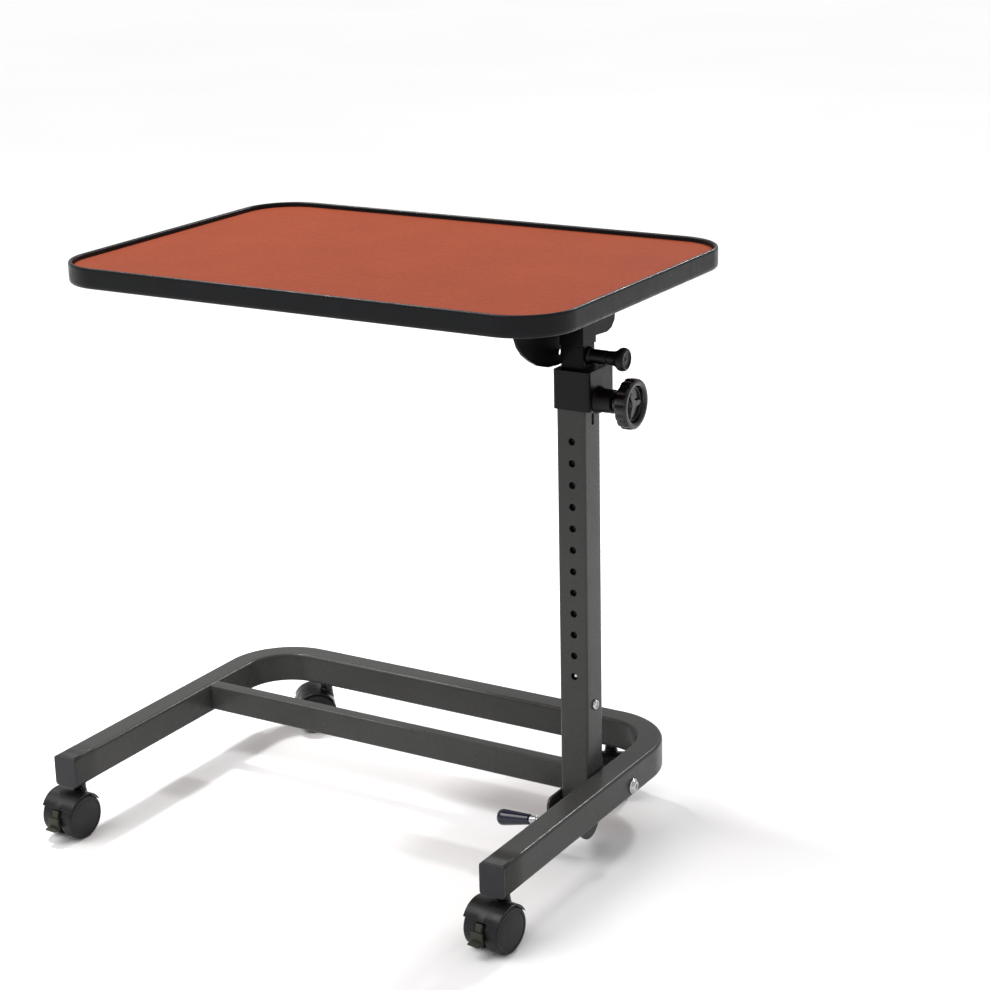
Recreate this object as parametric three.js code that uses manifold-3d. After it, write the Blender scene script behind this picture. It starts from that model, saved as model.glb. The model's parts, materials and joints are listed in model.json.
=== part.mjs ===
// Overbed table: a U-shaped wheeled base, a telescopic column beside one leg and a tilting top.
// Millimetres, +Z up. X runs along the long side of the top, -Y is the open side of the base.
import * as THREE from 'three';
import { mergeVertices } from 'three/addons/utils/BufferGeometryUtils.js';
import Module from 'manifold-3d';

const wasm = await Module();
wasm.setup();
const { Manifold, Mesh: MMesh } = wasm;

// ---------------------------------------------------------------- driving dimensions
const OX = 290.8765;         // drawing origin to the centre of the bounding box, X
const OY = 170.863;          // and Y
const GAP = 0.3;              // clearance kept where two pieces touch

const TUBE_W = 28.7;          // base tube, horizontal
const TUBE_H = 34.9;          // base tube, vertical
const TUBE_T = 2.0;
const BASE_X0 = -8.7;
const BASE_X1 = 565.7;
const BASE_Y0 = -36.0;        // open front ends of the legs (the caps reach 3 mm further)
const BASE_Y1 = 365.6;
const BASE_Z0 = 59.5;
const BASE_Z1 = BASE_Z0 + TUBE_H;
const BEND_R = 80;            // outer radius of the two rear bends
const CAP_T = 3.0;

const BAR_Y0 = 205.6;
const BAR_Y1 = 221.9;
const BAR_Z0 = 63.4;
const BAR_T = 1.6;

const POST_X0 = 503.1;
const POST_X1 = 536.2;
const POST_Y0 = 188.1;
const POST_Y1 = 221.8;
const POST_Z0 = 60.2;
const POST_Z1 = 536.0;
const POST_T = 2.0;
const HOLE_R = 3.9;
const HOLE_X = 520.6;
const HOLE_Z0 = 205.6;        // lowest height hole, the one the button sits in
const HOLE_PITCH = 23.4;
const HOLE_N = 12;

const COLLAR_X0 = 501.1;
const COLLAR_X1 = 543.4;
const COLLAR_Y0 = 184.2;
const COLLAR_Y1 = 238.5;
const COLLAR_Z0 = 497.0;
const COLLAR_Z1 = 538.0;
const KNOB_Y = 205.0;
const KNOB_Z = 506.0;
const KNOB_R = 26.3;

const IN_X0 = 506.6;
const IN_X1 = 532.8;
const IN_Y0 = 191.8;
const IN_Y1 = 218.1;
const IN_Z0 = 192.0;
const IN_Z1 = 562.0;
const IN_T = 1.8;
const PIN_Y = 205.0;
const PIN_Z = 551.0;

const TILT_Y = 205.0;
const TILT_Z = 592.0;
const PLATE_X0 = 497.2;
const PLATE_T = 3.0;
const INDEX_STEP = 15;        // degrees between the tilt holes
const INDEX_N = 5;

const TOP_L = 600;
const TOP_W = 410;
const TOP_R = 59;
const RIM_Z0 = 614.9;
const RIM_Z1 = 637.4;
const RIM_T = 4.4;
const RIM_LEDGE = 13;
const PANEL_Z0 = 617.0;
const PANEL_Z1 = 632.2;

const WHEEL_R = 25.0;
const WHEEL_W = 17.0;
const HOOD_W = 9.0;
const TRAIL = 15.0;
const STEM_R = 5.0;
const STEM_Z0 = 48.0;
const NECK_R = 6.9;
const GUARD_R = WHEEL_R + 2.4;
const AXLE_Z = WHEEL_R;

// ---------------------------------------------------------------- shape helpers
function toManifold(geo) {
  const bare = new THREE.BufferGeometry();
  bare.setAttribute('position', geo.getAttribute('position').clone());
  if (geo.index) bare.setIndex(geo.index.clone());
  const g = mergeVertices(bare, 1e-4);
  const mesh = new MMesh({
    numProp: 3,
    vertProperties: new Float32Array(g.getAttribute('position').array),
    triVerts: new Uint32Array(g.index.array),
  });
  mesh.merge();
  return new Manifold(mesh);
}

function toGeometry(man) {
  const m = man.getMesh();
  const g = new THREE.BufferGeometry();
  const pos = new Float32Array(m.vertProperties.length / m.numProp * 3);
  for (let i = 0; i < pos.length / 3; i += 1) {
    pos[3 * i] = m.vertProperties[m.numProp * i];
    pos[3 * i + 1] = m.vertProperties[m.numProp * i + 1];
    pos[3 * i + 2] = m.vertProperties[m.numProp * i + 2];
  }
  g.setAttribute('position', new THREE.BufferAttribute(pos, 3));
  g.setIndex(new THREE.BufferAttribute(new Uint32Array(m.triVerts), 1));
  g.computeVertexNormals();
  return g;
}

const add = (...list) => toGeometry(list.map(toManifold).reduce((a, b) => a.add(b)));
const cut = (body, ...tools) => toGeometry(tools.map(toManifold).reduce((a, b) => a.subtract(b), toManifold(body)));
const keep = (a, b) => toGeometry(toManifold(a).intersect(toManifold(b)));

function box(x0, x1, y0, y1, z0, z1) {
  const g = new THREE.BoxGeometry(x1 - x0, y1 - y0, z1 - z0);
  g.translate((x0 + x1) / 2, (y0 + y1) / 2, (z0 + z1) / 2);
  return g;
}

// outline of a rectangle with round corners, centred, as a list of [u, v]
function roundRect(w, h, r, seg) {
  const pts = [];
  for (let c = 0; c < 4; c += 1) {
    const cx = (c === 0 || c === 3 ? 1 : -1) * (w / 2 - r);
    const cy = (c < 2 ? 1 : -1) * (h / 2 - r);
    for (let i = 0; i <= seg; i += 1) {
      const a = (c + i / seg) * Math.PI / 2;
      pts.push([cx + r * Math.cos(a), cy + r * Math.sin(a)]);
    }
  }
  return pts;
}

// points on an arc about (u, v), angles in degrees from the u axis
function around(u, v, r, from, to, steps) {
  const pts = [];
  for (let i = 0; i <= steps; i += 1) {
    const a = THREE.MathUtils.degToRad(from + (to - from) * i / steps);
    pts.push([u + r * Math.cos(a), v + r * Math.sin(a)]);
  }
  return pts;
}

// extrude a list of [u, v] along +Z from z0 to z1
function prismZ(pts, z0, z1) {
  const shape = new THREE.Shape(pts.map(([u, v]) => new THREE.Vector2(u, v)));
  const g = new THREE.ExtrudeGeometry(shape, { depth: z1 - z0, bevelEnabled: false, steps: 1 });
  g.translate(0, 0, z0);
  return g;
}

// extrude a list of [y, z] along +X from x0 to x1
function prismX(pts, x0, x1) {
  const g = prismZ(pts, x0, x1);
  g.applyMatrix4(new THREE.Matrix4().set(0, 0, 1, 0, 1, 0, 0, 0, 0, 1, 0, 0, 0, 0, 0, 1));
  return g;
}

// a tube with round corners standing between z0 and z1
function postShell(x0, x1, y0, y1, z0, z1, r, seg) {
  const g = prismZ(roundRect(x1 - x0, y1 - y0, r, seg), z0, z1);
  g.translate((x0 + x1) / 2, (y0 + y1) / 2, 0);
  return g;
}

// solid of revolution about an axis through p; profile is [radius, distance along the axis]
function turned(profile, axis, p, seg = 32) {
  const closed = [...profile, profile[0]];
  const g = new THREE.LatheGeometry(closed.map(([r, t]) => new THREE.Vector2(r, t)), seg);
  if (axis === 'z') g.rotateX(Math.PI / 2);
  if (axis === 'x') g.rotateZ(-Math.PI / 2);
  g.translate(p[0], p[1], p[2]);
  return g;
}

// plain cylinder from a to b along the axis; the other two numbers place it
function rod(r, a, b, axis, u, v, seg = 24) {
  const g = new THREE.CylinderGeometry(r, r, b - a, seg);
  g.translate(0, (a + b) / 2, 0);
  if (axis === 'x') {
    g.rotateZ(-Math.PI / 2);
    g.translate(0, u, v);
  }
  if (axis === 'y') g.translate(u, 0, v);
  if (axis === 'z') {
    g.rotateX(Math.PI / 2);
    g.translate(u, v, 0);
  }
  return g;
}

function turnedX(profile, y, z, seg = 32) {
  return turned(profile, 'x', [0, y, z], seg);
}

// sweep an outline of [sideways, up] along a flat path of { p, n } in a horizontal plane
function sweep(path, outline, z) {
  const pos = [];
  const idx = [];
  const n = outline.length;
  for (const s of path) {
    for (const [u, v] of outline) pos.push(s.p[0] + s.n[0] * u, s.p[1] + s.n[1] * u, z + v);
  }
  for (let i = 0; i + 1 < path.length; i += 1) {
    for (let j = 0; j < n; j += 1) {
      const a = i * n + j;
      const b = i * n + (j + 1) % n;
      idx.push(a, a + n, b, b, a + n, b + n);
    }
  }
  const tris = THREE.ShapeUtils.triangulateShape(outline.map(([u, v]) => new THREE.Vector2(u, v)), []);
  const last = (path.length - 1) * n;
  for (const [a, b, c] of tris) {
    idx.push(a, b, c);
    idx.push(last + a, last + c, last + b);
  }
  const g = new THREE.BufferGeometry();
  g.setAttribute('position', new THREE.BufferAttribute(new Float32Array(pos), 3));
  g.setIndex(idx);
  return g;
}

// centre line of the U: up the left leg, along the rear bar, down the right leg
function baseLine(yFront) {
  const h = TUBE_W / 2;
  const r = BEND_R - h;
  const xl = BASE_X0 + h;
  const xr = BASE_X1 - h;
  const yr = BASE_Y1 - h;
  const path = [{ p: [xl, yFront], n: [1, 0] }];
  const steps = 10;
  for (let i = 0; i <= steps; i += 1) {
    const a = Math.PI - (i / steps) * Math.PI / 2;
    path.push({ p: [xl + r + r * Math.cos(a), yr - r + r * Math.sin(a)], n: [-Math.cos(a), -Math.sin(a)] });
  }
  for (let i = 0; i <= steps; i += 1) {
    const a = Math.PI / 2 - (i / steps) * Math.PI / 2;
    path.push({ p: [xr - r + r * Math.cos(a), yr - r + r * Math.sin(a)], n: [-Math.cos(a), -Math.sin(a)] });
  }
  path.push({ p: [xr, yFront], n: [-1, 0] });
  return path;
}

// ---------------------------------------------------------------- materials
const finish = (color, roughness, metalness) => ({ color, roughness, metalness });
const GREY = finish(0x52534f, 0.5, 0.6);
const BLACK = finish(0x1d1d1e, 0.5, 0.0);
const SATIN = finish(0x232324, 0.42, 0.3);
const CHROME = finish(0xc9cbcd, 0.18, 1.0);
const STEEL = finish(0x9a9c9e, 0.35, 1.0);
const CAPGREY = finish(0x38383c, 0.6, 0.0);
const NAVY = finish(0x1a2433, 0.35, 0.0);
const CLAY = finish(0xac5a44, 0.7, 0.0);
const TYRE = finish(0x161617, 0.65, 0.0);

const part = new THREE.Group();
part.name = 'overbed_table';

function piece(name, geometry, look) {
  const g = geometry.clone();
  g.translate(-OX, -OY, 0);
  const mesh = new THREE.Mesh(g, new THREE.MeshStandardMaterial({ ...look }));
  mesh.name = name;
  part.add(mesh);
}

// ---------------------------------------------------------------- wheel positions (stem axes)
const LEG_L = BASE_X0 + TUBE_W / 2;
const LEG_R = BASE_X1 - TUBE_W / 2;
const REAR_Y = BASE_Y1 - TUBE_W / 2;
const CASTORS = [
  { id: 'fl', x: LEG_L, y: -17, turn: 3, brake: true },
  { id: 'fr', x: LEG_R, y: -17, turn: 7, brake: true },
  { id: 'rl', x: 84, y: REAR_Y, turn: 50, brake: false },
  { id: 'rr', x: BASE_X0 + BASE_X1 - 80, y: REAR_Y, turn: -25, brake: false },
];

// ---------------------------------------------------------------- base
const midZ = (BASE_Z0 + BASE_Z1) / 2;
const BOLT_Y = 233;
const BOLT_Z = 72;
{
  const outer = sweep(baseLine(BASE_Y0), roundRect(TUBE_W, TUBE_H, 3.6, 3), midZ);
  const inner = sweep(baseLine(BASE_Y0 - 2), roundRect(TUBE_W - 2 * TUBE_T, TUBE_H - 2 * TUBE_T, 1.6, 1), midZ);
  const holes = CASTORS.map((c) => rod(STEM_R + GAP, BASE_Z0 - 3, BASE_Z0 + 6, 'z', c.x, c.y));
  holes.push(rod(4.3, BASE_X1 - TUBE_W - 3, BASE_X1 + 3, 'x', BOLT_Y, BOLT_Z));
  piece('base_frame', cut(outer, inner, ...holes), GREY);
}
{
  const x0 = BASE_X0 + TUBE_W + GAP;
  const x1 = 498.6;
  const bar = [];
  for (const [w, h, r, seg] of [[BAR_Y1 - BAR_Y0, BASE_Z1 - BAR_Z0, 2.6, 3],
    [BAR_Y1 - BAR_Y0 - 2 * BAR_T, BASE_Z1 - BAR_Z0 - 2 * BAR_T, 1.0, 2]]) {
    const pts = roundRect(w, h, r, seg).map(([u, v]) => [u + (BAR_Y0 + BAR_Y1) / 2, v + (BAR_Z0 + BASE_Z1) / 2]);
    bar.push(pts);
  }
  piece('crossbar', cut(prismX(bar[0], x0, x1), prismX(bar[1], x0 - 1, x1 + 1)), GREY);
}
for (const [id, x] of [['left', LEG_L], ['right', LEG_R]]) {
  const face = prismZ(roundRect(TUBE_W, TUBE_H, 3.4, 3), 0, CAP_T - GAP);
  const plug = prismZ(roundRect(TUBE_W - 2 * TUBE_T - 0.8, TUBE_H - 2 * TUBE_T - 0.8, 1.4, 2), -8, 0.5);
  const cap = add(face, plug);
  cap.rotateX(Math.PI / 2);
  cap.translate(x, BASE_Y0 - GAP, midZ);
  piece(`end_cap_${id}`, cap, CAPGREY);
}

// foot bracket: end plate of the crossbar, web under the post, two hanging lobes and a bolt tab
const LOBE_Y = 184.5;
const LOBE_Z = 46;
const LOBE_R = 21;
const EAR_Z1 = 70;             // top of the ear in front of the post
const EAR_R = 9;
const WEB_Z0 = 56.2;
const WEB_Z1 = BASE_Z0 - GAP;
const LEVER = { x: 512, y: 155, z: 50.5 };
{
  const arc = around(LOBE_Y, LOBE_Z, LOBE_R, 180, 360, 14);
  const corner = around(LOBE_Y - LOBE_R + EAR_R, EAR_Z1 - EAR_R, EAR_R, 90, 180, 5);
  const left = [...arc, [LOBE_Y + LOBE_R, WEB_Z0], [246, WEB_Z0], [246, 70], [BAR_Y1 + 1, 94], [BAR_Y0 - 3, 94],
    [BAR_Y0 - 7, EAR_Z1], ...corner];
  const right = [...arc, [LOBE_Y + LOBE_R, WEB_Z1], [LOBE_Y - LOBE_R, WEB_Z1]];
  const body = add(
    prismX(left, 498.9, 501.6),
    prismX(right, 537.4, 540.2),
    box(499.5, 540.0, 163.5, 246, WEB_Z0, WEB_Z1),
    box(499.5, 540.0, 163.6, 166.4, 38, WEB_Z1 - 0.5),
    box(533.9, 536.6, 226, 246, WEB_Z0 + 0.5, 88),
  );
  piece('foot_bracket', cut(body,
    rod(4.3, 530, 545, 'x', BOLT_Y, BOLT_Z),
    rod(3.4, 160, 170, 'y', LEVER.x, LEVER.z)), GREY);
}
piece('leg_bolt', turnedX([[0, 526.5], [3.9, 526.5], [3.9, BASE_X1 + GAP], [8.2, BASE_X1 + GAP],
  [8.2, BASE_X1 + 1.5], [6.8, BASE_X1 + 1.7], [6.2, BASE_X1 + 3.4], [4.2, BASE_X1 + 4.7], [0, BASE_X1 + 5.2]],
BOLT_Y, BOLT_Z, 28), CHROME);
{
  const hex = [];
  for (let i = 0; i < 6; i += 1) {
    const a = (i + 0.5) * Math.PI / 3;
    hex.push([BOLT_Y + 7.5 * Math.cos(a), BOLT_Z + 7.5 * Math.sin(a)]);
  }
  piece('leg_nut', cut(prismX(hex, 527.4, 533.6), rod(4.2, 520, 540, 'x', BOLT_Y, BOLT_Z)), STEEL);
}

// ---------------------------------------------------------------- release lever at the foot
piece('lever_bolt', turned([[0, 144.2], [5.6, 144.2], [6.0, 145.2], [6.0, 147.4], [3.0, 147.4], [3.0, 172],
  [0, 172]], 'y', [LEVER.x, 0, LEVER.z], 24), STEEL);
piece('lever_hub', cut(rod(8.2, 148, 162.6, 'y', LEVER.x, LEVER.z, 24),
  rod(3.3, 140, 170, 'y', LEVER.x, LEVER.z)), BLACK);
{
  const droop = THREE.MathUtils.degToRad(8);
  const place = (g) => {
    g.rotateZ(Math.PI / 2);
    g.rotateY(-droop);
    g.translate(LEVER.x, LEVER.y, LEVER.z);
    return g;
  };
  const lathe = (pts, seg) => new THREE.LatheGeometry([...pts, pts[0]].map(([r, t]) => new THREE.Vector2(r, t)), seg);
  piece('lever_stem', place(lathe([[0, 8.6], [3.4, 8.6], [3.4, 20], [4.4, 21], [4.4, 28.7], [3.0, 28.7],
    [3.0, 48], [0, 48]], 24)), CHROME);
  piece('lever_grip', place(lathe([[3.3, 29], [5.4, 29], [6.0, 30], [6.6, 39], [8.2, 53], [8.9, 61], [8.6, 64.5],
    [7.2, 66.6], [0, 67.4], [0, 48.4], [3.3, 48.4]], 24)), NAVY);
}

// ---------------------------------------------------------------- outer post, screw and collar
{
  const shell = postShell(POST_X0, POST_X1, POST_Y0, POST_Y1, POST_Z0, POST_Z1, 2.8, 3);
  const bore = postShell(POST_X0 + POST_T, POST_X1 - POST_T, POST_Y0 + POST_T, POST_Y1 - POST_T,
    POST_Z0 - 2, POST_Z1 + 2, 1.2, 1);
  const holes = [];
  for (let i = 0; i < HOLE_N; i += 1) {
    holes.push(rod(HOLE_R, POST_Y0 - 3, POST_Y0 + POST_T + 1.5, 'y', HOLE_X, HOLE_Z0 + i * HOLE_PITCH, 16));
  }
  holes.push(rod(4.6, POST_X1 - 4, POST_X1 + 3, 'x', KNOB_Y, KNOB_Z));
  holes.push(rod(2.8, POST_X1 - 4, POST_X1 + 3, 'x', 204, 171.2));
  holes.push(box(POST_X1 - 4, POST_X1 + 2, 202.5, 207.5, 479, 491));
  piece('post', cut(shell, bore, ...holes), GREY);
}
piece('post_screw', turnedX([[0, POST_X1 - 8], [2.5, POST_X1 - 8], [2.5, POST_X1 + GAP], [5.6, POST_X1 + GAP],
  [5.4, POST_X1 + 1.5], [4.0, POST_X1 + 2.6], [0, POST_X1 + 3.0]], 204, 171.2, 24), CHROME);
{
  const body = add(
    postShell(COLLAR_X0, COLLAR_X1, COLLAR_Y0, COLLAR_Y1, COLLAR_Z0, COLLAR_Z1, 4, 5),
    turnedX([[0, COLLAR_X1 - 1], [14.5, COLLAR_X1 - 1], [14.5, COLLAR_X1 + 1], [12.4, COLLAR_X1 + 4.4],
      [12.4, 561.5], [11.4, 562.4], [0, 562.4]], KNOB_Y, KNOB_Z, 32),
  );
  piece('collar', cut(body,
    postShell(POST_X0 - GAP, POST_X1 + GAP, POST_Y0 - GAP, POST_Y1 + GAP, COLLAR_Z0 - 2, POST_Z1 + GAP, 2.9, 4),
    postShell(IN_X0 - 0.5, IN_X1 + 0.5, IN_Y0 - 0.5, IN_Y1 + 0.5, POST_Z1 - 1, COLLAR_Z1 + 2, 2.6, 4),
    rod(4.6, POST_X1 - 2, 566, 'x', KNOB_Y, KNOB_Z)), BLACK);
}

// ---------------------------------------------------------------- clamp knob
{
  const rimPts = [];
  const lobes = 6;
  for (let i = 0; i < 60; i += 1) {
    const a = (i / 60) * 2 * Math.PI;
    const r = KNOB_R - 1.5 * Math.pow(0.5 - 0.5 * Math.cos(lobes * a), 3);
    rimPts.push([KNOB_Y + r * Math.cos(a), KNOB_Z + r * Math.sin(a)]);
  }
  const round = turnedX([[0, 563.4], [10.5, 563.4], [11.5, 568.5], [17.5, 573.0], [24.0, 573.6], [26.6, 576],
    [26.6, 584.6], [24.6, 587], [20.6, 587], [18.6, 585.2], [17.6, 581.4], [0, 581.4]], KNOB_Y, KNOB_Z, 40);
  const fluted = keep(round, prismX(rimPts, 560, 590));
  const ribs = [];
  for (let i = 0; i < 3; i += 1) {
    const b = box(580.6, 584.2, -3, 3, 0, 18.6);
    b.rotateX(i * 2 * Math.PI / 3);
    b.translate(0, KNOB_Y, KNOB_Z);
    ribs.push(b);
  }
  const hub = rod(6.5, 580.6, 584.8, 'x', KNOB_Y, KNOB_Z);
  piece('clamp_knob', cut(add(fluted, hub, ...ribs), rod(4.3, 560, 579, 'x', KNOB_Y, KNOB_Z)), BLACK);
}
piece('clamp_stud', turnedX([[0, 533.4], [3.2, 533.4], [4.0, 534.4], [4.0, 578.6], [0, 578.6]],
  KNOB_Y, KNOB_Z, 24), STEEL);

// ---------------------------------------------------------------- sliding inner tube and its tilt head
{
  const shell = postShell(IN_X0, IN_X1, IN_Y0, IN_Y1, IN_Z0, IN_Z1, 2.4, 3);
  const bore = postShell(IN_X0 + IN_T, IN_X1 - IN_T, IN_Y0 + IN_T, IN_Y1 - IN_T, IN_Z0 - 2, IN_Z1 + 2, 1.0, 1);
  piece('inner_tube', cut(shell, bore,
    rod(3.9, IN_X0 - 2, IN_X1 + 2, 'x', PIN_Y, PIN_Z),
    rod(3.9, IN_Y0 - 2, IN_Y0 + 4, 'y', HOLE_X, HOLE_Z0, 20)), SATIN);
}
{
  const r = (IN_Y1 - IN_Y0) / 2 + 0.6;
  const cy = TILT_Y;
  const pts = [[cy + r, IN_Z1 + GAP], ...around(cy, TILT_Z, r, 0, 180, 14), [cy - r, IN_Z1 + GAP]];
  const head = prismX(pts, IN_X0 - 0.6, IN_X1 + 0.6);
  const plug = postShell(IN_X0 + IN_T + 0.4, IN_X1 - IN_T - 0.4, IN_Y0 + IN_T + 0.4, IN_Y1 - IN_T - 0.4,
    556.6, IN_Z1 + 1, 1.0, 2);
  piece('tilt_head', cut(add(head, plug), rod(5.3, 490, 540, 'x', TILT_Y, TILT_Z)), SATIN);
}
piece('tilt_axle', turnedX([[0, 491.6], [5.4, 491.6], [8.6, 493.2], [9.0, 494.6], [9.0, PLATE_X0 - GAP],
  [5.0, PLATE_X0 - GAP], [5.0, 531], [0, 531]], TILT_Y, TILT_Z, 28), STEEL);
piece('pin_housing', turnedX([[3.9, IN_X1 + GAP], [9.4, IN_X1 + GAP], [9.4, IN_X1 + 2.2], [7.3, IN_X1 + 3.2],
  [7.3, 553.6], [6.6, 554.4], [3.9, 554.4]], PIN_Y, PIN_Z, 32), BLACK);
piece('pull_pin', turnedX([[0, 500.9], [2.4, 500.9], [3.5, 503.2], [3.5, 555], [7.2, 555], [7.3, 560], [8.6, 564.5],
  [11.2, 567.8], [12.1, 569.4], [12.1, 572.6], [11.0, 574.6], [8.6, 575.6], [0, 576]], PIN_Y, PIN_Z, 28), BLACK);
{
  const prof = [];
  for (let i = 0; i <= 5; i += 1) {
    const a = (1 - i / 5) * Math.PI / 2;
    prof.push([i === 0 ? 0 : 3.5 * Math.cos(a), 192.4 - 1.9 * Math.sin(a)]);
  }
  prof.push([3.5, 199.6]);
  prof.push([0, 199.6]);
  piece('snap_button', turned(prof, 'y', [HOLE_X, 0, HOLE_Z0], 24), CHROME);
}

// ---------------------------------------------------------------- tilt bracket under the top
const FLANGE_Z1 = PANEL_Z0 - GAP;
const FLANGE_Z0 = FLANGE_Z1 - 3.0;
const FLANGE_X1 = 548;
const SCREWS = [[512, 128], [538, 150], [538, 262], [512, 306]];
{
  const side = [[111, FLANGE_Z1], [111, 594], [114.5, 583.7], [119, 574.6], [128.5, 564.4], [142.1, 555.2],
    [157.9, 547], [178.1, 540.9], [198.7, 538.8], [215, 539.4], [236, 544], [252, 550], [268, 553],
    [289.3, 551.6], [305, 550.6], [315, 553.4], [321.5, 560], [323, 568], [323, FLANGE_Z1]];
  const plate = prismX(side, PLATE_X0, PLATE_X0 + PLATE_T);
  const flange = box(PLATE_X0 + 1, FLANGE_X1, 111, 323, FLANGE_Z0, FLANGE_Z1);
  const holes = [rod(5.3, 490, 505, 'x', TILT_Y, TILT_Z, 28)];
  for (let i = 0; i < INDEX_N; i += 1) {
    const a = THREE.MathUtils.degToRad(i * INDEX_STEP);
    const d = TILT_Z - PIN_Z;
    holes.push(rod(4.2, 490, 505, 'x', TILT_Y + d * Math.sin(a), TILT_Z - d * Math.cos(a), 20));
  }
  for (const [x, y] of SCREWS) holes.push(rod(2.4, FLANGE_Z0 - 2, FLANGE_Z1 + 2, 'z', x, y, 16));
  piece('tilt_bracket', cut(add(plate, flange), ...holes), BLACK);
}
SCREWS.forEach(([x, y], i) => {
  piece(`bracket_screw_${i + 1}`, turned([[0, FLANGE_Z0 - 3.0], [2.6, FLANGE_Z0 - 2.8], [4.4, FLANGE_Z0 - 1.4],
    [4.6, FLANGE_Z0 - GAP], [2.1, FLANGE_Z0 - GAP], [2.1, PANEL_Z0 - 0.05], [0, PANEL_Z0 - 0.05]],
  'z', [x, y, 0], 20), STEEL);
});

// ---------------------------------------------------------------- top: rim with a ledge, panel inside
{
  const slab = (inset, z0, z1, seg) => {
    const g = prismZ(roundRect(TOP_L - 2 * inset, TOP_W - 2 * inset, TOP_R - inset, seg), z0, z1);
    g.translate(TOP_L / 2, TOP_W / 2, 0);
    return g;
  };
  const steps = [[0, 618.4], [0.5, 616.6], [1.6, 615.5], [3.2, RIM_Z0]];
  const seg = 10;
  // rounded lower edge: a loft of shrinking outlines
  const rings = [[1.5, RIM_Z1], [0.5, RIM_Z1 - 0.5], [0, RIM_Z1 - 1.6], ...steps];
  const pos = [];
  const idx = [];
  const n = 4 * (seg + 1);
  rings.forEach(([inset, z]) => {
    for (const [u, v] of roundRect(TOP_L - 2 * inset, TOP_W - 2 * inset, TOP_R - inset, seg)) {
      pos.push(u + TOP_L / 2, v + TOP_W / 2, z);
    }
  });
  for (let i = 0; i + 1 < rings.length; i += 1) {
    for (let j = 0; j < n; j += 1) {
      const a = i * n + j;
      const b = i * n + (j + 1) % n;
      idx.push(a, a + n, b, b, a + n, b + n);
    }
  }
  for (let j = 1; j + 1 < n; j += 1) {
    const e = (rings.length - 1) * n;
    idx.push(0, j, j + 1);
    idx.push(e, e + j + 1, e + j);
  }
  const solid = new THREE.BufferGeometry();
  solid.setAttribute('position', new THREE.BufferAttribute(new Float32Array(pos), 3));
  solid.setIndex(idx);
  piece('rim', cut(solid, slab(RIM_T, PANEL_Z0 - GAP, RIM_Z1 + 3, seg), slab(RIM_LEDGE, RIM_Z0 - 3, RIM_Z1, seg)), BLACK);
  piece('panel', slab(RIM_T + GAP, PANEL_Z0, PANEL_Z1, seg), CLAY);
}

// ---------------------------------------------------------------- castors
// each one is drawn with its stem on the origin, then turned clockwise about it and moved into place
for (const c of CASTORS) {
  const place = (g) => {
    g.rotateZ(-THREE.MathUtils.degToRad(c.turn));
    g.translate(c.x, c.y, 0);
    return g;
  };
  const ring = (r, from, to, steps) => around(-TRAIL, AXLE_Z, r, from, to, steps);
  const half = HOOD_W / 2;
  const hoodTop = BASE_Z0 - 2.2;
  const web = [...ring(21.5, -28, 162, 10), [-TRAIL - 9, AXLE_Z - 8], [-TRAIL, AXLE_Z - 11],
    [-TRAIL + 10, AXLE_Z - 12]];
  const guard = [...ring(GUARD_R, 32, 150, 9), ...ring(WHEEL_R, 150, 32, 9)];
  const ridge = [...ring(GUARD_R, 30, 152, 9), [-TRAIL - 14, AXLE_Z + 8], [-TRAIL + 14, AXLE_Z + 8]];
  const body = add(
    prismX(web, -half, half),
    prismX(guard, -half - WHEEL_W - 0.4, half + WHEEL_W + 0.4),
    prismX(ridge, -half, half),
    turned([[0, 40], [8.6, 40], [8.6, 47], [NECK_R, 51.5], [NECK_R, hoodTop], [0, hoodTop]], 'z', [0, 0, 0], 20),
  );
  piece(`castor_${c.id}_hood`, place(cut(body,
    rod(WHEEL_R + 0.9, -half - WHEEL_W - 3, -half, 'x', -TRAIL, AXLE_Z, 32),
    rod(WHEEL_R + 0.9, half, half + WHEEL_W + 3, 'x', -TRAIL, AXLE_Z, 32),
    rod(3.3, -30, 30, 'x', -TRAIL, AXLE_Z),
    rod(STEM_R + GAP, STEM_Z0 - 0.6, 62, 'z', 0, 0))), BLACK);
  piece(`castor_${c.id}_stem`, place(turned([[0, STEM_Z0], [STEM_R, STEM_Z0], [STEM_R, hoodTop + GAP],
    [NECK_R + 0.7, hoodTop + GAP], [NECK_R + 0.7, BASE_Z0 - GAP], [STEM_R, BASE_Z0 - GAP],
    [STEM_R, BASE_Z0 + 24], [4.0, BASE_Z0 + 25.5], [0, BASE_Z0 + 25.5]], 'z', [0, 0, 0], 16)), STEEL);
  piece(`castor_${c.id}_axle`, place(rod(3.0, -half - 12, half + 12, 'x', -TRAIL, AXLE_Z, 16)), STEEL);
  for (const [side, s] of [['a', -1], ['b', 1]]) {
    const x0 = half + 0.5;
    const x1 = half + 0.5 + WHEEL_W;
    const prof = [[3.3, x0], [23.4, x0], [WHEEL_R, x0 + 2], [WHEEL_R, x1 - 3], [23.6, x1 - 0.8],
      [20.6, x1 - 0.2], [19.6, x1 - 1.0], [6.5, x1], [0, x1], [0, x0 + 12.4], [3.3, x0 + 12.4]];
    const turnedProf = s > 0 ? prof : prof.map(([r, t]) => [r, -t]).reverse();
    piece(`castor_${c.id}_wheel_${side}`, place(turnedX(turnedProf, -TRAIL, AXLE_Z, 28)), TYRE);
  }
  if (c.brake) {
    const arm = [...ring(27.6, 154, 196, 6), ...ring(22.2, 196, 154, 6)];
    const pedal = [...ring(30.2, 172, 192, 4), [-TRAIL - 35.5, AXLE_Z - 6.6], [-TRAIL - 35.8, AXLE_Z - 8.8],
      ...ring(27.2, 199, 172, 5)];
    piece(`castor_${c.id}_brake`, place(add(prismX(arm, -half + 0.6, half - 0.6), prismX(pedal, -7, 7))), BLACK);
  }
}

export default part;
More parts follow.
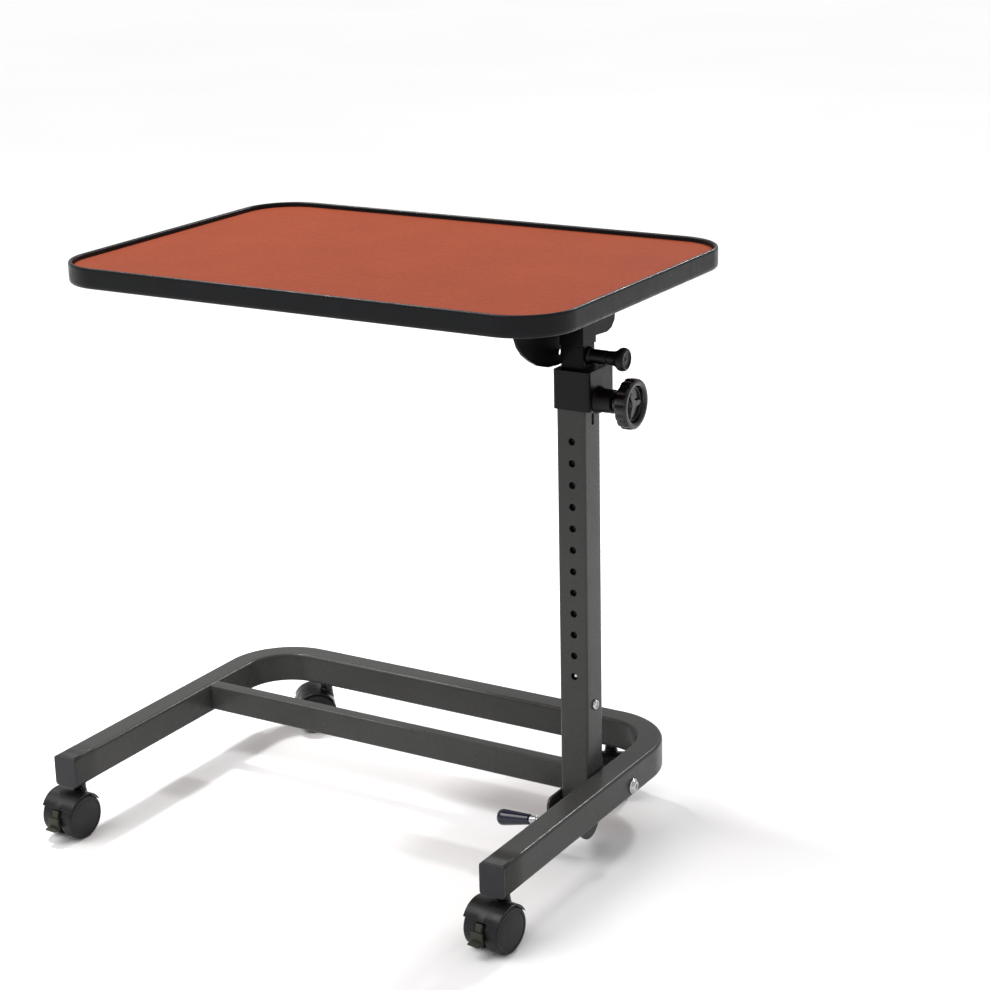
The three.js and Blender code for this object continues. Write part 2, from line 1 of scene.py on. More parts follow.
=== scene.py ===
"""Overbed table: the looks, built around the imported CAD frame.

Metres, +Z up, -Y the open side of the base. Pieces are drawn in millimetres and then placed by a matrix.
"""

import json
import math

import bmesh
import bpy
from mathutils import Matrix, Vector


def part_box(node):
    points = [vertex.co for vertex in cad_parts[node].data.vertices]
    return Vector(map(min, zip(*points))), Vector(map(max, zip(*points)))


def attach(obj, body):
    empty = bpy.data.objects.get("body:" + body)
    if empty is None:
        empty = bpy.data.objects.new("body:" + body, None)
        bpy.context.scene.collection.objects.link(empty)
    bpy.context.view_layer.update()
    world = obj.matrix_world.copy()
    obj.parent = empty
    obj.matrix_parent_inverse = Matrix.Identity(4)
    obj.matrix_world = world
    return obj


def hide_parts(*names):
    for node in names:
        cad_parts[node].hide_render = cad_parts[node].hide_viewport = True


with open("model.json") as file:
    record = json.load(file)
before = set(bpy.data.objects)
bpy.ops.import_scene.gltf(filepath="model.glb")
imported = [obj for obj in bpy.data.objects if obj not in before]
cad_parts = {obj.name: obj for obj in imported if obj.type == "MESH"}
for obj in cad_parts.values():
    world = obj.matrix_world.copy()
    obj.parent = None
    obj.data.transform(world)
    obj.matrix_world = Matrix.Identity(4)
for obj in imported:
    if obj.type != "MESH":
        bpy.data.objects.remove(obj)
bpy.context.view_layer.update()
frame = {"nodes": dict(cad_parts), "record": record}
MM = 0.001
TAU = 2 * math.pi
JOINT = {row["name"]: row for row in frame["record"]["behaviour"]["joints"]}


# ------------------------------------------------------------------ materials
def linear(rgb):
    """Screen colour 0..255 to the linear colour that shaders take."""
    out = []
    for c in rgb:
        c /= 255
        out.append(c / 12.92 if c <= 0.04045 else ((c + 0.055) / 1.055) ** 2.4)
    return (*out, 1.0)


def shade(rgb, k):
    """The same colour in linear values, k times as bright."""
    return (*(min(1.0, c * k) for c in linear(rgb)[:3]), 1.0)


class Look:
    """A Principled material with a small graph of noises behind its colour, roughness and bump."""

    def __init__(self, name, **sockets):
        self.mat = bpy.data.materials.new(name)
        self.mat.use_nodes = True
        self.tree = self.mat.node_tree
        self.bsdf = self.tree.nodes["Principled BSDF"]
        for key, value in sockets.items():
            self.bsdf.inputs[key.replace("_", " ")].default_value = value
        self.coord = self.tree.nodes.new("ShaderNodeTexCoord").outputs["Object"]
        self.height = None

    def link(self, a, b):
        self.tree.links.new(a, b)
        return self

    def stretch(self, scale):
        """Object coordinates, scaled differently along each axis."""
        node = self.tree.nodes.new("ShaderNodeMapping")
        node.inputs["Scale"].default_value = scale
        self.link(self.coord, node.inputs["Vector"])
        return node.outputs["Vector"]

    def noise(self, scale, detail=3.0, rough=0.55, vector=None):
        node = self.tree.nodes.new("ShaderNodeTexNoise")
        node.inputs["Scale"].default_value = scale
        node.inputs["Detail"].default_value = detail
        node.inputs["Roughness"].default_value = rough
        self.link(vector or self.coord, node.inputs["Vector"])
        return node.outputs["Fac"]

    def cells(self, scale, vector=None):
        node = self.tree.nodes.new("ShaderNodeTexVoronoi")
        node.inputs["Scale"].default_value = scale
        self.link(vector or self.coord, node.inputs["Vector"])
        return node.outputs["Distance"]

    def ramp(self, fac, stops):
        node = self.tree.nodes.new("ShaderNodeValToRGB")
        elements = node.color_ramp.elements
        while len(elements) < len(stops):
            elements.new(0.5)
        for element, (at, colour) in zip(elements, stops):
            element.position = at
            element.color = colour
        self.link(fac, node.inputs["Fac"])
        return node.outputs["Color"]

    def mix(self, fac, a, b, mode="MIX"):
        node = self.tree.nodes.new("ShaderNodeMix")
        node.data_type = "RGBA"
        node.blend_type = mode
        for socket, value in ((node.inputs[0], fac), (node.inputs[6], a), (node.inputs[7], b)):
            if isinstance(value, bpy.types.NodeSocket):
                self.link(value, socket)
            else:
                socket.default_value = value
        return node.outputs[2]

    def spread(self, fac, low, high, to_low, to_high):
        node = self.tree.nodes.new("ShaderNodeMapRange")
        for key, value in zip(("From Min", "From Max", "To Min", "To Max"), (low, high, to_low, to_high)):
            node.inputs[key].default_value = value
        self.link(fac, node.inputs["Value"])
        return node.outputs["Result"]

    def colour(self, socket):
        return self.link(socket, self.bsdf.inputs["Base Color"])

    def roughness(self, fac, low, high):
        return self.link(self.spread(fac, 0.3, 0.7, low, high), self.bsdf.inputs["Roughness"])

    def bump(self, fac, distance, strength=1.0):
        """Adds a layer of bump; distance is its height in metres."""
        node = self.tree.nodes.new("ShaderNodeBump")
        node.inputs["Strength"].default_value = strength
        node.inputs["Distance"].default_value = distance
        self.link(fac, node.inputs["Height"])
        if self.height:
            self.link(self.height, node.inputs["Normal"])
        self.height = node.outputs["Normal"]
        return self.link(self.height, self.bsdf.inputs["Normal"])


def powder_coat(name, rgb, rough=0.3, level=0.16, grain=1.0):
    """Satin powder coat: fine orange peel, a pepper of darker and brighter grains, faint cloudiness."""
    look = Look(name, Specular_IOR_Level=level, Coat_Weight=0.04, Coat_Roughness=0.16)
    pepper = look.noise(2400, 2, 0.6)
    cloud = look.noise(22, 3)
    fine = look.ramp(pepper, [(0.30, shade(rgb, 0.68)), (0.52, shade(rgb, 1.0)), (0.74, shade(rgb, 1.45))])
    soft = look.ramp(cloud, [(0.3, (0.94, 0.94, 0.94, 1)), (0.7, (1.05, 1.05, 1.05, 1))])
    look.colour(look.mix(1.0, fine, soft, "MULTIPLY"))
    look.roughness(look.noise(60, 4), rough - 0.05, rough + 0.06)
    look.bump(look.noise(900, 3), 0.00008 * grain, 0.3)
    look.bump(look.noise(2400, 2), 0.00004 * grain, 0.35)
    return look.mat


def moulded(name, rgb, rough=0.45, level=0.25, grain=1.0, scale=1500):
    """Moulded plastic with a spark-eroded grain, a slight flow cloudiness and rubbed patches."""
    look = Look(name, Specular_IOR_Level=level)
    cloud = look.noise(35, 4)
    look.colour(look.ramp(cloud, [(0.3, shade(rgb, 0.82)), (0.7, shade(rgb, 1.2))]))
    look.roughness(look.noise(90, 5), rough - 0.08, rough + 0.08)
    look.bump(look.cells(scale), 0.00008 * grain, 0.4)
    look.bump(look.noise(scale * 0.6, 3), 0.00006 * grain, 0.3)
    return look.mat


def bare_metal(name, rgb, rough, along=(1, 1, 1), scratch=1.0):
    """Plated or turned metal: fine lines stretched along one axis and a few soft smudges."""
    look = Look(name, Metallic=1.0)
    lines = look.noise(900, 4, 0.7, look.stretch(along))
    smudge = look.noise(55, 4)
    tone = look.ramp(lines, [(0.3, shade(rgb, 0.84)), (0.7, shade(rgb, 1.08))])
    look.colour(look.mix(0.5, tone, look.ramp(smudge, [(0.3, shade(rgb, 0.8)), (0.7, shade(rgb, 1.1))])))
    look.roughness(smudge, rough * 0.7, rough * 1.5)
    look.bump(lines, 0.00003 * scratch, 0.5)
    return look.mat


def table_board(name, rgb):
    """Matte clay-coloured laminate: pebbled, with a barely visible mottle."""
    look = Look(name, Specular_IOR_Level=0.12)
    mottle = look.noise(14, 6, 0.6)
    speck = look.noise(1100, 2, 0.6)
    base = look.ramp(mottle, [(0.32, shade(rgb, 0.95)), (0.68, shade(rgb, 1.05))])
    dots = look.ramp(speck, [(at, (k, k, k, 1)) for at, k in ((0.33, 0.87), (0.5, 1), (0.7, 1.07))])
    look.colour(look.mix(1.0, base, dots, "MULTIPLY"))
    look.roughness(look.noise(160, 4), 0.66, 0.8)
    look.bump(look.cells(1300), 0.00010, 0.4)
    look.bump(look.noise(420, 3), 0.00006, 0.2)
    return look.mat


LOOKS = {
    "frame_coat": powder_coat("frame_coat", (59, 59, 58)),
    "black_satin": powder_coat("black_satin", (9, 9, 10), rough=0.36, level=0.07),
    "cap_plastic": moulded("cap_plastic", (35, 35, 39), rough=0.36),
    "black_plastic": moulded("black_plastic", (9, 9, 10), rough=0.34, level=0.18),
    "gloss_black": moulded("gloss_black", (11, 11, 12), rough=0.2, level=0.4, grain=0.4, scale=900),
    "navy_plastic": moulded("navy_plastic", (18, 27, 44), rough=0.14, level=0.5, grain=0.3, scale=900),
    "rim_plastic": moulded("rim_plastic", (15, 16, 18), rough=0.34, level=0.15),
    "castor_black": moulded("castor_black", (15, 15, 16), rough=0.32, level=0.3),
    "tyre_black": moulded("tyre_black", (19, 19, 21), rough=0.42, grain=1.3, scale=1100),
    "brake_tab": moulded("brake_tab", (48, 48, 40), rough=0.5),
    "chrome_hardware": bare_metal("chrome_hardware", (190, 191, 194), 0.16),
    "steel_hardware": bare_metal("steel_hardware", (150, 152, 155), 0.3, (0.2, 1, 1), 2.0),
    "clay_board": table_board("clay_board", (129, 54, 28)),
}
SLOT_OF = {row["node"]: row["material_slot"] for row in frame["record"]["subparts"]}


# ------------------------------------------------------------------ mesh helpers
def crisp(obj, width, segments=2, angle=32):
    """Rounds the hard edges of a mesh; the wide faces stay flat and the rounded ones shade smoothly."""
    weld = obj.modifiers.new("weld", "WELD")
    weld.merge_threshold = 0.00001
    if width:
        bevel = obj.modifiers.new("edge", "BEVEL")
        bevel.width = width
        bevel.segments = segments
        bevel.limit_method = "ANGLE"
        bevel.angle_limit = math.radians(angle)
        bevel.use_clamp_overlap = True
    flats = obj.modifiers.new("flats", "WEIGHTED_NORMAL")
    flats.mode = "FACE_AREA"
    flats.weight = 60
    for face in obj.data.polygons:
        face.use_smooth = True


def dress(obj, look_name):
    obj.data.materials.clear()
    obj.data.materials.append(LOOKS[look_name])


def seat(at, side=(1, 0, 0)):
    """Matrix from millimetres in an upright frame at `at`, whose X points to side, to the shared frame."""
    x = Vector(side).normalized()
    y = Vector((0, 0, 1)).cross(x).normalized()
    turn = Matrix((x, y, x.cross(y))).transposed().to_4x4()
    return Matrix.Translation(at) @ turn @ Matrix.Scale(MM, 4)


# corner of the top seen from above, at floor level: the zero of every drawing below
ZERO = Vector((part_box("rim")[0].x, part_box("rim")[0].y, 0))
DRAWING = seat(ZERO)


def add_piece(name, bm, slot_name, body, replaced=(), place=DRAWING, bevel=0.0, segments=2, look=None):
    """Turns a bmesh drawn in millimetres into a piece that rides on a body."""
    bmesh.ops.transform(bm, matrix=place, verts=bm.verts)
    bmesh.ops.recalc_face_normals(bm, faces=bm.faces)
    mesh = bpy.data.meshes.new(name)
    bm.to_mesh(mesh)
    bm.free()
    obj = bpy.data.objects.new(name, mesh)
    bpy.context.scene.collection.objects.link(obj)
    dress(obj, look or slot_name)
    crisp(obj, bevel * MM, segments)
    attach(obj, body)
    if replaced:
        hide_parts(*replaced)
    return obj


def skin(bm, rings, looped=False, capped=True):
    """Skins a list of equally long closed rings of points; looped joins the last ring to the first."""
    rows = [[bm.verts.new(p) for p in ring] for ring in rings]
    n = len(rows[0])
    pairs = list(zip(rows, rows[1:]))
    if looped:
        pairs.append((rows[-1], rows[0]))
    for a, b in pairs:
        for i in range(n):
            bm.faces.new((a[i], a[(i + 1) % n], b[(i + 1) % n], b[i]))
    if capped and not looped:
        bm.faces.new(rows[0][::-1])
        bm.faces.new(rows[-1])


def lathe(bm, profile, centre=(0, 0, 0), axis="x", segments=64, squeeze=None):
    """Revolves [radius, distance] about an axis through centre, from a point on the axis to another.

    squeeze(radius, angle) may change the radius and add to the distance.
    """
    turned = {"x": lambda t, u, v: (t, u, v), "y": lambda t, u, v: (u, t, v)}
    rows = []
    for r, t in profile:
        ring = []
        for i in range(segments if r > 1e-6 else 1):
            angle = TAU * i / segments
            radius, rise = squeeze(r, t, angle) if squeeze else (r, 0.0)
            point = turned[axis](t + rise, radius * math.cos(angle), radius * math.sin(angle))
            ring.append(bm.verts.new(Vector(centre) + Vector(point)))
        rows.append(ring)
    for a, b in zip(rows, rows[1:]):
        for i in range(segments):
            j = (i + 1) % segments
            if len(a) == 1:
                bm.faces.new((a[0], b[j], b[i]))
            elif len(b) == 1:
                bm.faces.new((a[i], a[j], b[0]))
            else:
                bm.faces.new((a[i], a[j], b[j], b[i]))


def turned_piece(name, profile, slot_name, body, replaced, centre=(0, 0, 0), axis="x", place=DRAWING,
                 segments=64, squeeze=None):
    bm = bmesh.new()
    lathe(bm, profile, centre, axis, segments, squeeze)
    return add_piece(name, bm, slot_name, body, replaced, place)


def round_rect(w, h, r, seg):
    """Outline of a rectangle with round corners, centred on 0, 0."""
    points = []
    for corner in range(4):
        cx = (w / 2 - r) * (1 if corner in (0, 3) else -1)
        cy = (h / 2 - r) * (1 if corner < 2 else -1)
        for i in range(seg + 1):
            a = (corner + i / seg) * math.pi / 2
            points.append((cx + r * math.cos(a), cy + r * math.sin(a)))
    return points


def prism_x(bm, outline, x0, x1):
    """Closed prism between x0 and x1 over a list of (y, z)."""
    skin(bm, [[(x, y, z) for y, z in outline] for x in (x0, x1)])


# ------------------------------------------------------------------ CAD nodes that stay
# width of the rounding on the hard edges of a node, in millimetres
EDGE = {
    "post": 0.3,
    "inner_tube": 0.3,
    "foot_bracket": 0.6,
    "tilt_bracket": 0.7,
    "crossbar": 1.0,
    "collar": 1.2,
    "end_cap_left": 1.2,
    "end_cap_right": 1.2,
    "tilt_head": 1.2,
}
EDGE_OF_THE_REST = 0.5
for node_name, node in frame["nodes"].items():
    if "custom_normal" in node.data.attributes:
        node.data.attributes.remove(node.data.attributes["custom_normal"])
    dress(node, SLOT_OF[node_name])
    crisp(node, EDGE.get(node_name, EDGE_OF_THE_REST) * MM)


# ------------------------------------------------------------------ base tube with smooth bends
TUBE_W, TUBE_H, TUBE_R, BEND_R = 28.7, 34.9, 3.8, 80.0
BASE_X0, BASE_X1, BASE_Y0, BASE_Y1 = -8.7, 565.7, -36.0, 365.6
BASE_MID_Z = 76.95


def base_path(steps=28):
    """Centre line of the U with the direction towards its inside at each point."""
    half = TUBE_W / 2
    r = BEND_R - half
    left, right, back = BASE_X0 + half, BASE_X1 - half, BASE_Y1 - half
    path = [((left, BASE_Y0), (1, 0)), ((left, 0), (1, 0)), ((left, 200), (1, 0))]
    for cx, start in ((left + r, math.pi), (right - r, math.pi / 2)):
        for i in range(steps + 1):
            a = start - i / steps * math.pi / 2
            path.append(((cx + r * math.cos(a), back - r + r * math.sin(a)), (-math.cos(a), -math.sin(a))))
    return path + [((right, y), (-1, 0)) for y in (200, 0, BASE_Y0)]


def make_base_tube():
    """One bent tube: a rounded rectangle carried along the centre line of the U."""
    bm = bmesh.new()
    outline = round_rect(TUBE_W, TUBE_H, TUBE_R, 6)
    rings = []
    for p, n in base_path():
        rings.append([(p[0] + n[0] * u, p[1] + n[1] * u, BASE_MID_Z + v) for u, v in outline])
    skin(bm, rings)
    add_piece("base_tube", bm, "frame_coat", "base", ["base_frame"])


make_base_tube()

# ------------------------------------------------------------------ top: rim and board
TOP_L, TOP_W, TOP_R = 600.0, 410.0, 59.0
RIM_SECTION = [
    (3.2, 614.9), (1.7, 615.3), (0.6, 616.3), (0.05, 618.0), (0.0, 620.0), (0.0, 634.6), (0.1, 635.8),
    (0.5, 636.7), (1.2, 637.25), (2.1, 637.4), (2.9, 637.3), (3.7, 636.9), (4.2, 636.2), (4.4, 635.2),
    (4.4, 616.7), (13.0, 616.7), (13.0, 615.2), (12.6, 614.9)
]
BOARD_SECTION = [
    (5.6, 617.0), (4.8, 617.3), (4.7, 618.0), (4.7, 631.4), (5.0, 632.0), (5.7, 632.2)
]


def top_ring(inset, z):
    outline = round_rect(TOP_L - 2 * inset, TOP_W - 2 * inset, TOP_R - inset, 24)
    return [(u + TOP_L / 2, v + TOP_W / 2, z) for u, v in outline]


def make_top():
    """The rim, a closed ring of one section, and the board inside it."""
    bm = bmesh.new()
    skin(bm, [top_ring(*row) for row in RIM_SECTION], looped=True)
    add_piece("top_rim", bm, "rim_plastic", "table_top_body", ["rim"])
    bm = bmesh.new()
    skin(bm, [top_ring(*row) for row in BOARD_SECTION])
    add_piece("top_board", bm, "clay_board", "table_top_body", ["panel"])


make_top()

# ------------------------------------------------------------------ knob, pull pin, screws, lever grip
KNOB_CENTRE = (0, 205.0, 506.0)
KNOB_R, KNOB_FACE, KNOB_DISH = 26.3, 587.0, 581.3
PIN_CENTRE = (0, 205.0, 551.0)
LEG_BOLT_CENTRE = (0, 233.0, 72.0)
POST_SCREW_CENTRE = (0, 204.0, 171.2)
BUTTON_CENTRE = (520.6, 0, 205.6)


def knob_shape(r, t, angle):
    """Sixteen grip flutes around the side and a three-armed relief in the recessed face."""
    if r > 20 and t < KNOB_FACE - 1:
        return r - 1.2 * (0.5 - 0.5 * math.cos(16 * angle)) ** 2 * min(1.0, (r - 20) / 4), 0.0
    if t > KNOB_DISH - 2.3 and r < 17.5:
        reach = 6.2 + 9.6 * (0.5 + 0.5 * math.cos(3 * angle)) ** 3
        rise = min(1.0, max(0.0, (reach - r) / 1.6))
        return r, 2.7 * rise * rise * (3 - 2 * rise)
    return r, 0.0


def make_knob():
    back = [
        (0, 563.4), (8.0, 563.4), (10.3, 563.6), (10.6, 564.4), (11.0, 567.4), (12.6, 570.2), (15.0, 572.0),
        (17.8, 572.9), (22.0, 573.3), (24.2, 573.7), (25.6, 574.6), (26.2, 576.2),
    ]
    front = [
        (KNOB_R, 578), (KNOB_R, 580.4), (KNOB_R, 583.0), (26.1, 584.6), (25.4, 586.0), (24.2, 586.8),
        (22.6, KNOB_FACE), (20.9, 586.9), (19.6, 586.4), (18.8, 585.4), (18.3, 583.4), (17.9, 581.8),
    ]
    dish = [(17.4 - 0.7 * i, KNOB_DISH) for i in range(25)] + [(0, KNOB_DISH)]
    turned_piece("knob_body", back + front + dish, "gloss_black", "clamp", ["clamp_knob"], KNOB_CENTRE,
                 segments=144, squeeze=knob_shape)


make_knob()
PIN_PULL_SECTION = [
    (0, 500.9), (2.4, 500.9), (3.4, 503.2), (3.4, 554.7), (6.6, 554.8), (7.1, 555.3), (7.2, 557.0),
    (7.3, 560.0), (7.8, 562.8), (8.9, 565.2), (10.4, 567.1), (11.6, 568.6), (12.1, 570.2),
    (12.1, 572.2), (11.7, 574.0), (10.8, 575.2), (9.6, 575.8), (8.7, 575.8), (8.0, 575.3), (7.4, 574.5),
    (5.0, 574.3), (2.6, 574.4), (1.8, 574.9), (0, 575.0)
]
turned_piece("pin_pull", PIN_PULL_SECTION, "black_plastic", "pull_pin_body", ["pull_pin"], PIN_CENTRE)
PIN_SLEEVE_SECTION = [
    (3.9, 533.1), (9.0, 533.1), (9.4, 533.5), (9.4, 534.8), (9.0, 535.2), (7.6, 536.2), (7.3, 537.0),
    (7.3, 553.2), (7.0, 554.1), (6.4, 554.4), (3.9, 554.4), (3.9, 533.1)
]
turned_piece("pin_sleeve", PIN_SLEEVE_SECTION, "black_plastic", "inner_column", ["pin_housing"], PIN_CENTRE)
LEG_BOLT_SECTION = [
    (0, 526.5), (3.9, 526.5), (3.9, 566.0), (8.1, 566.0), (8.2, 566.3), (8.2, 567.1), (7.9, 567.4),
    (6.9, 567.5), (6.7, 567.9), (6.5, 568.8), (5.9, 569.8), (4.9, 570.5), (3.7, 570.85), (2.9, 570.9),
    (2.6, 570.6), (2.5, 570.0), (2.5, 568.4), (0, 568.2)
]
turned_piece("bolt_of_leg", LEG_BOLT_SECTION, "chrome_hardware", "base", ["leg_bolt"], LEG_BOLT_CENTRE)
POST_SCREW_SECTION = [
    (0, 528.2), (2.5, 528.2), (2.5, 536.5), (5.5, 536.5), (5.6, 536.8), (5.5, 537.7), (5.0, 538.6),
    (4.2, 539.1), (3.3, 539.2), (3.0, 539.0), (2.9, 538.4), (2.9, 537.3), (0, 537.2)
]
turned_piece("screw_of_post", POST_SCREW_SECTION, "chrome_hardware", "base", ["post_screw"],
             POST_SCREW_CENTRE)
BUTTON_SECTION = [
    (0, 190.5), (1.2, 190.6), (2.3, 191.0), (3.0, 191.6), (3.4, 192.4), (3.5, 193.2), (3.5, 199.6),
    (0, 199.6)
]
turned_piece("button_dome", BUTTON_SECTION, "chrome_hardware", "height_button", ["snap_button"],
             BUTTON_CENTRE, axis="y", segments=40)

LEVER_DROOP = math.radians(8)
LEVER_ALONG = (-math.cos(LEVER_DROOP), 0, -math.sin(LEVER_DROOP))
GRIP_SECTION = [
    (0, 48.4), (3.3, 48.4), (3.3, 29.0), (5.0, 29.0), (5.6, 29.3), (5.9, 30.0), (6.0, 31.2),
    (6.3, 35.0), (6.9, 41.0), (7.6, 48.0), (8.3, 55.0), (8.8, 60.0), (8.9, 62.0), (8.7, 64.0),
    (8.1, 65.7), (7.0, 66.8), (5.4, 67.3), (0, 67.4)
]
turned_piece("grip_of_lever", GRIP_SECTION, "navy_plastic", "release_lever", ["lever_grip"],
             place=seat(JOINT["lever_turn"]["pos_m"], LEVER_ALONG))

# ------------------------------------------------------------------ castors
WHEEL_R, TRAIL, GUARD_R, WEB_HALF, WHEEL_OUT = 25.0, 15.0, 27.4, 4.4, 22.0
NECK_R, HOOD_TOP = 6.9, 57.3
AXLE = (0, -TRAIL, WHEEL_R)
WHEEL_SECTION = [
    (0, 17.4), (3.3, 17.4), (3.3, 5.0), (21.0, 5.0), (23.2, 5.2), (24.4, 5.8), (24.9, 6.8), (25.0, 8.4),
    (25.0, 18.4), (24.9, 19.2), (24.5, 20.1), (23.8, 20.8), (22.8, 21.2), (21.6, 21.4), (20.9, 21.3),
    (20.5, 20.9), (20.0, 20.8), (19.5, 21.0), (17.0, 21.5), (10.0, 21.9), (0, 22.0)
]


def axle_arc(r, start, stop, steps):
    """(y, z) points about the axle, angles in degrees from +Y towards +Z."""
    angles = [math.radians(start + (stop - start) * i / steps) for i in range(steps + 1)]
    return [(r * math.cos(a) - TRAIL, r * math.sin(a) + WHEEL_R) for a in angles]


def make_guard(bm):
    """Mudguard over both wheels: a thin barrel shell whose two ends thin out."""
    steps = 44
    wide = WHEEL_OUT - 0.1
    inner = WHEEL_R + 0.8
    rings = []
    for i in range(steps + 1):
        a = math.radians(32 + 118 * i / steps)
        ease = min(1.0, 3.6 * min(i, steps - i) / steps)
        outer = inner + 0.5 + (GUARD_R - inner - 0.5) * math.sin(ease * math.pi / 2)
        drop = min(0.8, (outer - inner) * 0.6)
        lower = outer - drop
        upper = outer - drop * 0.35
        left = [(-wide, inner), (-wide, lower), (-wide + 0.3, upper), (-wide + 1.0, outer)]
        section = left + [(-x, r) for x, r in reversed(left)]
        rings.append([(x, r * math.cos(a) - TRAIL, r * math.sin(a) + WHEEL_R) for x, r in section])
    skin(bm, rings)


def make_neck(bm):
    """Round neck whose foot lies on the mudguard."""
    rings = []
    segments = 48
    for step in (0, 0.2, 0.4, 0.6, 0.8, 1.0):
        ring = []
        r = NECK_R + 1.5 * (1 - step) ** 1.6
        for i in range(segments):
            a = TAU * i / segments
            x, y = r * math.cos(a), r * math.sin(a)
            foot = WHEEL_R + math.sqrt((GUARD_R - 0.3) ** 2 - (y + TRAIL) ** 2)
            ring.append((x, y, foot + (52.2 - foot) * step))
        rings.append(ring)
    for r, z in ((NECK_R, HOOD_TOP - 0.5), (NECK_R - 0.4, HOOD_TOP)):
        rings.append([(r * math.cos(TAU * i / segments), r * math.sin(TAU * i / segments), z)
                      for i in range(segments)])
    skin(bm, rings)


def make_hood(key, place):
    """The mudguard with its neck, and the web between the wheels."""
    bm = bmesh.new()
    make_guard(bm)
    make_neck(bm)
    add_piece(f"hood_{key}", bm, "castor_black", f"castor_{key}", [f"castor_{key}_hood"], place)
    bm = bmesh.new()
    over = axle_arc(21.5, -28, 30, 8) + axle_arc(GUARD_R - 0.2, 32, 151, 30) + axle_arc(21.5, 153, 162, 2)
    under = [(-TRAIL - 9, 17.0), (-TRAIL, 14.0), (-TRAIL + 10, 13.0)]
    prism_x(bm, over + under, -WEB_HALF, WEB_HALF)
    add_piece(f"web_{key}", bm, "castor_black", f"castor_{key}", place=place, bevel=0.6)


def make_brake(key, place):
    """Brake tab: an arm between the wheels, a wider pedal with a lip, and three grip ribs on the lip."""
    bm = bmesh.new()
    prism_x(bm, axle_arc(27.6, 154, 196, 12) + axle_arc(22.2, 196, 154, 12), -3.8, 3.8)
    lip = [(-TRAIL - 33.5, 18.7), (-TRAIL - 35.6, 18.1), (-TRAIL - 35.7, 16.6)]
    prism_x(bm, axle_arc(30.2, 172, 192, 6) + lip + axle_arc(27.2, 199, 172, 8), -6.9, 6.9)
    for i in range(3):
        y = -TRAIL - 30.4 - 1.7 * i
        prism_x(bm, [(y - 0.45, 18.4), (y - 0.3, 19.1), (y + 0.3, 19.1), (y + 0.45, 18.4)], -6.0, 6.0)
    body, cad = f"castor_{key}_brake_body", f"castor_{key}_brake"
    add_piece(f"brake_{key}", bm, "castor_black", body, [cad], place, bevel=0.5, look="brake_tab")


for key in ("fl", "fr", "rl", "rr"):
    swivel = Vector(JOINT[f"castor_{key}_swivel"]["pos_m"])
    place = seat((swivel.x, swivel.y, 0), JOINT[f"castor_{key}_roll_a"]["axis"])
    make_hood(key, place)
    if f"castor_{key}_brake" in frame["nodes"]:
        make_brake(key, place)
    for side, sign in (("a", -1), ("b", 1)):
        turned_piece(f"wheel_{key}_{side}", [(r, sign * t) for r, t in WHEEL_SECTION], "tyre_black",
                     f"castor_{key}_wheel_{side}_body", [f"castor_{key}_wheel_{side}"], AXLE, place=place,
                     segments=80)


# ------------------------------------------------------------------ camera, floor and light
CAMERA_AT = ZERO + Vector((1.6164, -1.7850, 1.12095))
YAW, PITCH, ROLL = (math.radians(v) for v in (-31.33, 17.57, -1.335))
FOCAL = 83.88
SHIFT = (0.01065, 0.00144)


def make_camera():
    """Camera at CAMERA_AT that looks along YAW and down by PITCH, then leans by ROLL."""
    data = bpy.data.cameras.new("camera")
    data.sensor_width = 36
    data.lens = FOCAL
    data.shift_x, data.shift_y = SHIFT
    camera = bpy.data.objects.new("camera", data)
    bpy.context.scene.collection.objects.link(camera)
    ahead = Vector((math.sin(YAW) * math.cos(PITCH), math.cos(YAW) * math.cos(PITCH), -math.sin(PITCH)))
    right = Vector((math.cos(YAW), -math.sin(YAW), 0))
    up = right.cross(ahead)
    side = math.cos(ROLL) * right + math.sin(ROLL) * up
    top = -math.sin(ROLL) * right + math.cos(ROLL) * up
    turn = Matrix((side, top, -ahead)).transposed().to_4x4()
    camera.matrix_world = Matrix.Translation(CAMERA_AT) @ turn
    bpy.context.scene.camera = camera


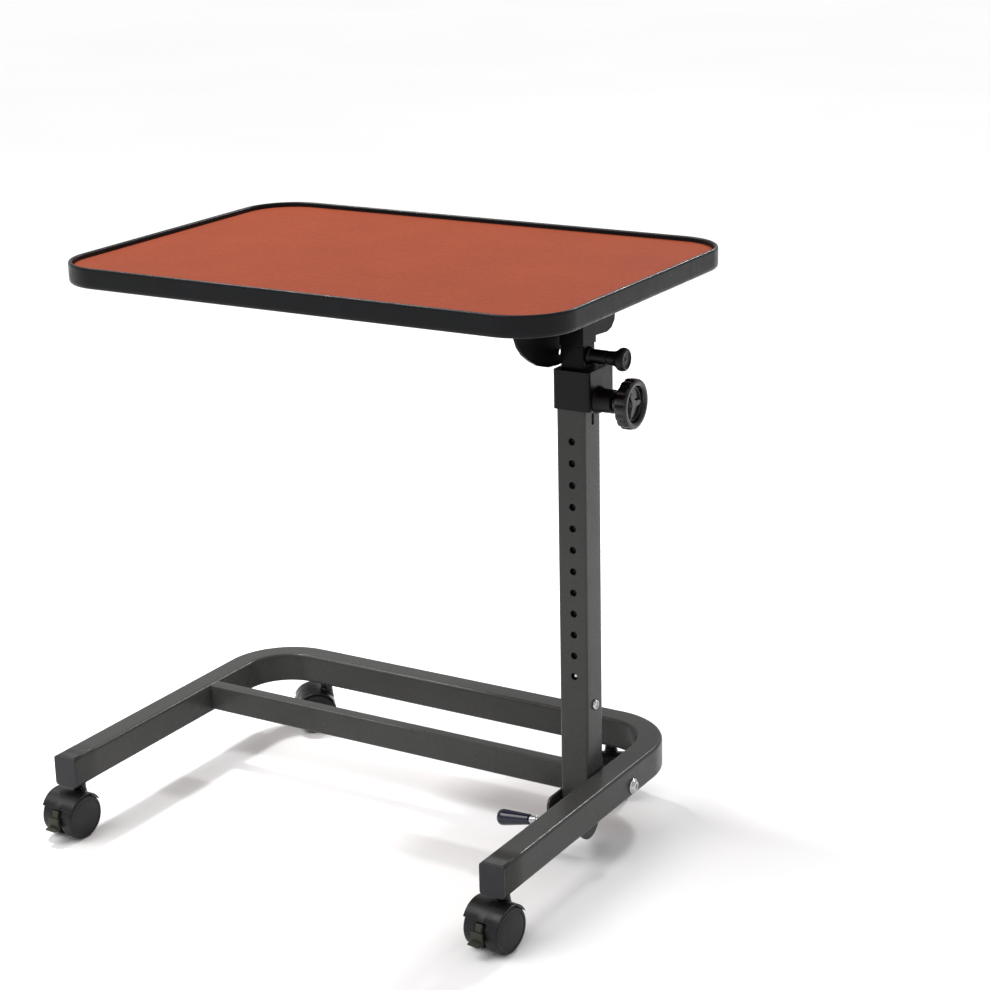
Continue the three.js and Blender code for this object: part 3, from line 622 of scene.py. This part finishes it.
def make_floor():
    """Plain pale floor that only the stage has."""
    bm = bmesh.new()
    bmesh.ops.create_grid(bm, x_segments=1, y_segments=1, size=12)
    mesh = bpy.data.meshes.new("floor")
    bm.to_mesh(mesh)
    bm.free()
    floor = bpy.data.objects.new("floor", mesh)
    bpy.context.scene.collection.objects.link(floor)
    look = Look("floor", Roughness=0.9, Specular_IOR_Level=0.1)
    look.colour(look.ramp(look.noise(0.7, 2), [(0.3, (0.9, 0.9, 0.9, 1)), (0.7, (0.93, 0.93, 0.93, 1))]))
    mesh.materials.append(look.mat)


def make_light(name, at, towards, power, size):
    """Rectangular lamp at a point, turned towards another; power in watts, size in metres."""
    data = bpy.data.lights.new(name, "AREA")
    data.energy = power
    data.shape = "RECTANGLE"
    data.size, data.size_y = size
    lamp = bpy.data.objects.new(name, data)
    lamp.location = at
    lamp.rotation_euler = (Vector(towards) - Vector(at)).to_track_quat("-Z", "Y").to_euler()
    bpy.context.scene.collection.objects.link(lamp)


def make_world(strength):
    world = bpy.data.worlds.new("studio")
    world.use_nodes = True
    back = world.node_tree.nodes["Background"]
    back.inputs["Color"].default_value = (1, 1, 1, 1)
    back.inputs["Strength"].default_value = strength
    bpy.context.scene.world = world


def make_sun(name, source, power, angle):
    """Sun that shines from the direction source; angle is its size in degrees."""
    data = bpy.data.lights.new(name, "SUN")
    data.energy = power
    data.angle = math.radians(angle)
    lamp = bpy.data.objects.new(name, data)
    lamp.rotation_euler = (-Vector(source)).to_track_quat("-Z", "Y").to_euler()
    bpy.context.scene.collection.objects.link(lamp)


MIDDLE = Vector((0, 0, 0.3))
LAMP_REACH = 2.6
EDGE_LEFT_FROM = Vector((-0.50, 0.15, 0.85))
EDGE_BACK_FROM = Vector((0.10, 0.80, 0.60))
SUN_FROM = (-0.45, -0.55, 1.0)
make_camera()
make_floor()
make_world(0.64)
make_sun("key", SUN_FROM, 1.7, 40)
make_light("edge_left", MIDDLE + LAMP_REACH * EDGE_LEFT_FROM, MIDDLE, 42, (0.24, 0.24))
make_light("edge_back", MIDDLE + LAMP_REACH * EDGE_BACK_FROM, MIDDLE, 24, (0.3, 0.2))
bpy.context.scene.view_settings.view_transform = "Standard"
